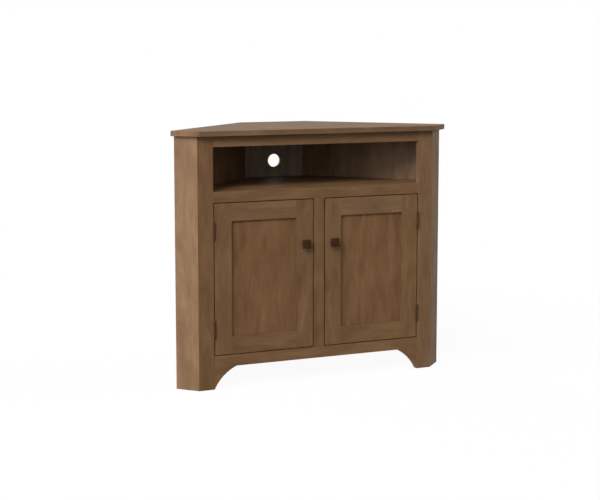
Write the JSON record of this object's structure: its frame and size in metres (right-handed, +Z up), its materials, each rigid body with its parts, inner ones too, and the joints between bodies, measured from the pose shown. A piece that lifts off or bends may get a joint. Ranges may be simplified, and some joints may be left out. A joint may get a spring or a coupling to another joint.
{
  "type": "corner tv cabinet",
  "caption": "Corner TV cabinet in stained wood: angled returns, walls narrowing to the back, open component bay, inset panelled doors on butt hinges and an arched base.",
  "frame": {"origin": "on the floor, below the middle of the outer box of the whole cabinet with its doors shut", "axes": "+X to the right as seen from the front, +Y from the doors to the narrow back, +Z up"},
  "size_m": [1.0724, 0.478, 0.914],
  "materials": {
    "stained_wood": "medium brown stain under a satin lacquer",
    "door_panel_wood": "medium brown stain under a satin lacquer",
    "dark_bronze": "dark oil-rubbed bronze, satin",
    "steel": "zinc-plated",
    "dark_plastic": "matt moulded"
  },
  "bodies": {
    "carcass": {"top_panel": "stained_wood", "arched_bottom_rail": "stained_wood", "shelf_rail": "stained_wood", "top_rail": "stained_wood", "centre_stile": "stained_wood", "component_shelf": "stained_wood", "bottom_panel": "stained_wood", "back_panel": "stained_wood", "adjustable_shelf": "stained_wood", "right_stile": "stained_wood", "right_return": "stained_wood", "right_side": "stained_wood", "right_top_cleat": "stained_wood", "right_magnetic_catch": "dark_plastic", "right_front_shelf_pin": "steel", "right_rear_shelf_pin": "steel", "right_lower_hinge_frame_leaf": "dark_bronze", "right_lower_hinge_pin": "dark_bronze", "right_upper_hinge_frame_leaf": "dark_bronze", "right_upper_hinge_pin": "dark_bronze", "left_stile": "stained_wood", "left_return": "stained_wood", "left_side": "stained_wood", "left_top_cleat": "stained_wood", "left_magnetic_catch": "dark_plastic", "left_front_shelf_pin": "steel", "left_rear_shelf_pin": "steel", "left_lower_hinge_frame_leaf": "dark_bronze", "left_lower_hinge_pin": "dark_bronze", "left_upper_hinge_frame_leaf": "dark_bronze", "left_upper_hinge_pin": "dark_bronze"},
    "right_door": {"right_door_lock_stile": "stained_wood", "right_door_hinge_stile": "stained_wood", "right_door_top_rail": "stained_wood", "right_door_bottom_rail": "stained_wood", "right_door_panel": "door_panel_wood", "right_door_knob": "dark_bronze", "right_door_knob_screw": "steel", "right_door_strike_plate": "steel", "right_lower_hinge_door_leaf": "dark_bronze", "right_upper_hinge_door_leaf": "dark_bronze"},
    "left_door": {"left_door_lock_stile": "stained_wood", "left_door_hinge_stile": "stained_wood", "left_door_top_rail": "stained_wood", "left_door_bottom_rail": "stained_wood", "left_door_panel": "door_panel_wood", "left_door_knob": "dark_bronze", "left_door_knob_screw": "steel", "left_door_strike_plate": "steel", "left_lower_hinge_door_leaf": "dark_bronze", "left_upper_hinge_door_leaf": "dark_bronze"}
  },
  "joints": [
    {"name": "right_door_hinge", "type": "hinge", "parent": "carcass", "child": "right_door", "pos_m": [0.3985, -0.2175, 0.3915], "axis": [0, 0, 1], "range_deg": [0, 175]},
    {"name": "left_door_hinge", "type": "hinge", "parent": "carcass", "child": "left_door", "pos_m": [-0.3985, -0.2175, 0.3915], "axis": [0, 0, -1], "range_deg": [0, 175]}
  ]
}
